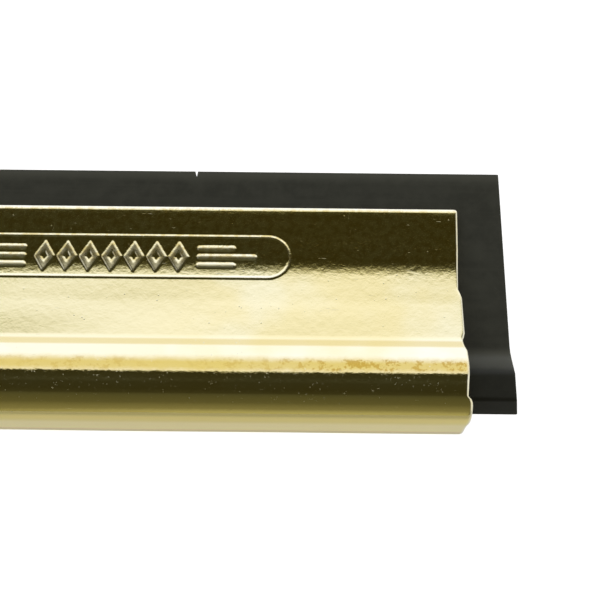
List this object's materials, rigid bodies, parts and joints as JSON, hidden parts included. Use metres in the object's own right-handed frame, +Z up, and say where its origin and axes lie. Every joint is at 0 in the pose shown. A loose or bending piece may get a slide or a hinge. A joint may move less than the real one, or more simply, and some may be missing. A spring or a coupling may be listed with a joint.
{
  "type": "window cleaning squeegee",
  "caption": "Window cleaning squeegee: folded brass channel holding a black rubber blade, clamped by a screw-down head on a brass handle with a ribbed rubber grip.",
  "frame": {"origin": "bottom centre of the whole object, on the surface that it lies on", "axes": "+X runs along the blade, +Y points from the handle to the wiping edge, +Z is up, the side with the screws and the raised band"},
  "size_m": [0.3166, 0.1676, 0.026],
  "materials": {
    "channel_brass": "bright rolled brass under clear lacquer, worn at the ridge",
    "blade_rubber": "smooth moulded black rubber, satin",
    "clip_brass": "spring-hard rolled brass",
    "cast_brass": "polished casting with a soft grain",
    "screw_brass": "turned and knurled brass",
    "washer_steel": "plain spring steel",
    "grip_rubber": "matt moulded rubber with grooves"
  },
  "bodies": {
    "handle": {"handle_casting": "cast_brass", "grip_sleeve": "grip_rubber"},
    "clamp": {"clamp_plate": "cast_brass", "lock_washer_left": "washer_steel", "lock_washer_right": "washer_steel"},
    "screw_left": {"clamp_screw_left": "screw_brass"},
    "screw_right": {"clamp_screw_right": "screw_brass"},
    "channel": {"channel": "channel_brass"},
    "rubber": {"rubber_blade": "blade_rubber", "rubber_clip_left": "clip_brass", "rubber_clip_right": "clip_brass"}
  },
  "joints": [
    {"name": "clamp_lift", "type": "slide", "parent": "handle", "child": "clamp", "axis": [0, 0, 1], "range_m": [0, 0.0016]},
    {"name": "screw_left_turn", "type": "hinge", "parent": "clamp", "child": "screw_left", "pos_m": [-0.018, 0.05, 0.009], "axis": [0, 0, 1], "range_deg": [0, 720]},
    {"name": "screw_right_turn", "type": "hinge", "parent": "clamp", "child": "screw_right", "pos_m": [0.018, 0.05, 0.009], "axis": [0, 0, 1], "range_deg": [0, 720]},
    {"name": "channel_slide", "type": "slide", "parent": "handle", "child": "channel", "axis": [1, 0, 0], "range_m": [-0.118, 0.118]},
    {"name": "rubber_slide", "type": "slide", "parent": "channel", "child": "rubber", "axis": [1, 0, 0], "range_m": [0, 0.3]}
  ],
  "couplings": [
    {"joint": "screw_left_turn", "follows": "clamp_lift", "rad_per_m": 7854},
    {"joint": "screw_right_turn", "follows": "clamp_lift", "rad_per_m": 7854}
  ]
}
